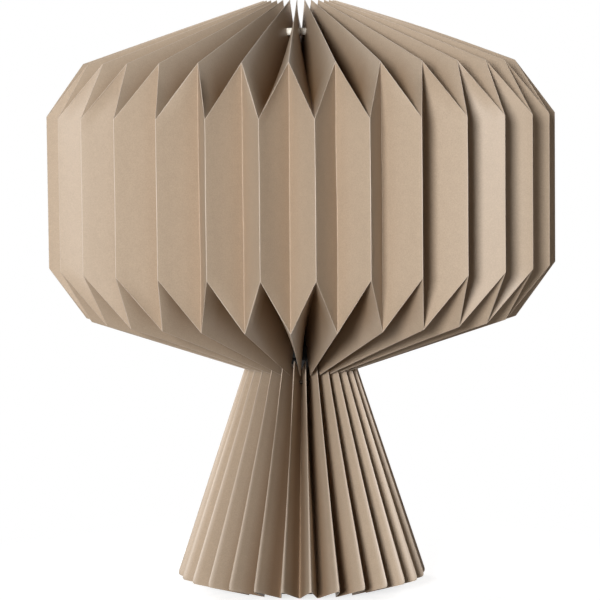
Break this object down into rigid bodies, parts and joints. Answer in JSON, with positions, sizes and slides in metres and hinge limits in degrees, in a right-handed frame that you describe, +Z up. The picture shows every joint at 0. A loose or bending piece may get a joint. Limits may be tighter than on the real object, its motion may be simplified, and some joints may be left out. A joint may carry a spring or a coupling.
{
  "type": "table lamp",
  "caption": "Pleated paper table lamp: a reverse-folded lantern shade that lifts off a collar, a flared pleated paper foot over a weighted base, and a candle bulb.",
  "frame": {"origin": "on the table under the middle of the foot", "axes": "+Z up along the stem, -Y towards the front as pictured, +X to the viewer's right"},
  "size_m": [0.3496, 0.3494, 0.405],
  "materials": {
    "shade_paper": "matt taupe paper with a fine fibre grain",
    "skirt_paper": "matt taupe paper with softer folds",
    "cream_cord": "matt twisted cotton",
    "taupe_cord": "matt twisted cotton",
    "black_steel": "satin black powder coat",
    "zinc_steel": "zinc plated",
    "rubber": "matt",
    "black_plastic": "moulded satin black",
    "insert_ceramic": "unglazed white steatite",
    "brass": "plain stamped",
    "nickel": "nickel plated",
    "bulb_insulator_glass": "black vitrite",
    "bulb_glass": "clear",
    "led_phosphor": "yellow phosphor coat"
  },
  "bodies": {
    "stand": {"base_plate": "black_steel", "rubber_feet": "rubber", "cable_bushing": "black_plastic", "threaded_rod": "zinc_steel", "lower_nut": "zinc_steel", "lower_washer": "zinc_steel", "stem_sleeve": "black_steel", "skirt_sheet_1": "skirt_paper", "skirt_sheet_2": "skirt_paper", "skirt_sheet_3": "skirt_paper", "skirt_drawcord": "taupe_cord", "holder_cap": "black_plastic", "holder_body": "black_plastic", "holder_insert": "insert_ceramic", "terminal_screws": "brass", "screw_shell": "brass", "centre_contact": "brass", "lower_shade_ring": "black_plastic", "upper_shade_ring": "black_plastic", "shade_collar": "black_steel"},
    "shade": {"shade_sheet_1": "shade_paper", "shade_sheet_2": "shade_paper", "shade_sheet_3": "shade_paper", "top_drawcord": "cream_cord", "mouth_drawcord": "taupe_cord"},
    "bulb_screw": {"bulb_cap": "nickel", "bulb_insulator": "bulb_insulator_glass", "bulb_tip": "nickel"},
    "bulb_glass": {"glass_globe": "bulb_glass", "glass_stem": "bulb_glass", "filament_supports": "nickel", "led_filaments": "led_phosphor"}
  },
  "joints": [
    {"name": "shade_lift", "type": "slide", "parent": "stand", "child": "shade", "axis": [0, 0, 1], "range_m": [0, 0.15]},
    {"name": "bulb_rise", "type": "slide", "parent": "stand", "child": "bulb_screw", "axis": [0, 0, 1], "range_m": [0, 0.0113]},
    {"name": "bulb_turn", "type": "hinge", "parent": "bulb_screw", "child": "bulb_glass", "pos_m": [0, 0, 0.2], "axis": [0, 0, 1], "range_deg": [0, 1440]}
  ],
  "couplings": [
    {"joint": "bulb_rise", "follows": "bulb_turn", "m_per_rad": 0.00044882}
  ]
}
